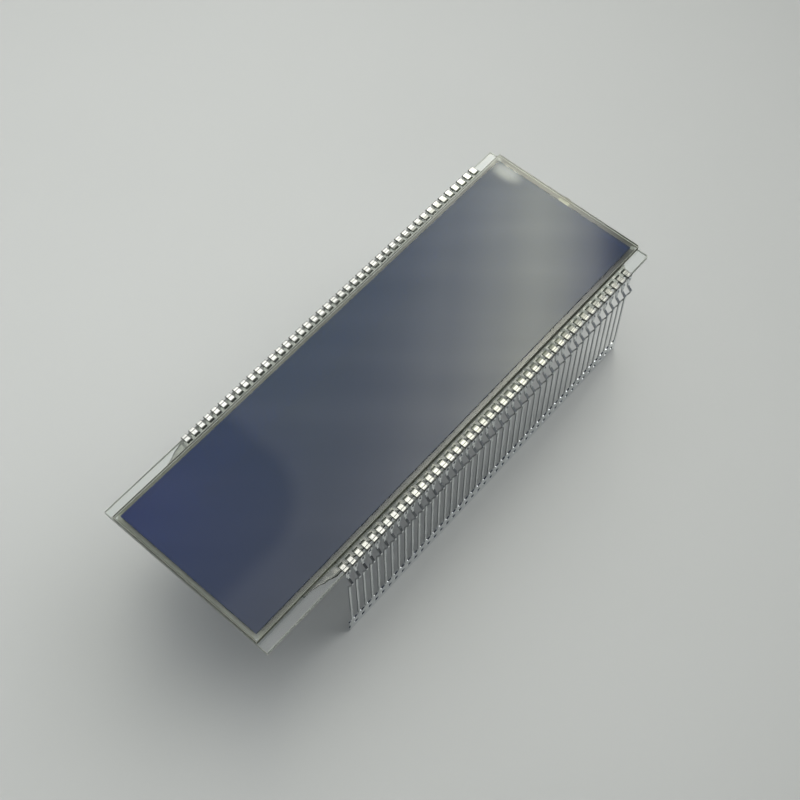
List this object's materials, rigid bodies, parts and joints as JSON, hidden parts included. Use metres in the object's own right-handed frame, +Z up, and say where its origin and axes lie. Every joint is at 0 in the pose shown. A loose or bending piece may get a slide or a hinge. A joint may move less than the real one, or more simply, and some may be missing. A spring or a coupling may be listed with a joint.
{
  "type": "lcd screen",
  "caption": "Bare glass liquid crystal display panel with a row of edge-clip pins along each long side, legs still joined by the carrier bar of their stamping.",
  "frame": {"origin": "centre of the bounding box's bottom, on the surface that the carrier bars stand on", "axes": "+X along the long side towards the sealed filling port, +Y across to the far row of pins, +Z up out of the viewing side"},
  "size_m": [0.1028, 0.0404, 0.0267],
  "materials": {
    "glass": "clear soda-lime glass, ground edges",
    "polarising_film": "neutral dark grey, glossy",
    "edge_seal": "olive-grey cured epoxy",
    "liquid": "thin clear liquid",
    "silver_epoxy": "silver-filled epoxy",
    "clear_resin": "clear cured resin, glossy",
    "tinned_bronze": "bright tin plate on bronze strip"
  },
  "bodies": {
    "root": {"rear_glass": "glass", "front_glass": "glass", "front_polariser": "polarising_film", "rear_polariser": "polarising_film", "seal_frame": "edge_seal", "liquid_crystal": "liquid", "transfer_dots": "silver_epoxy", "end_seal_plug": "clear_resin", "near_pin_comb": "tinned_bronze", "far_pin_comb": "tinned_bronze", "near_pin_glue": "clear_resin", "far_pin_glue": "clear_resin"}
  },
  "joints": []
}
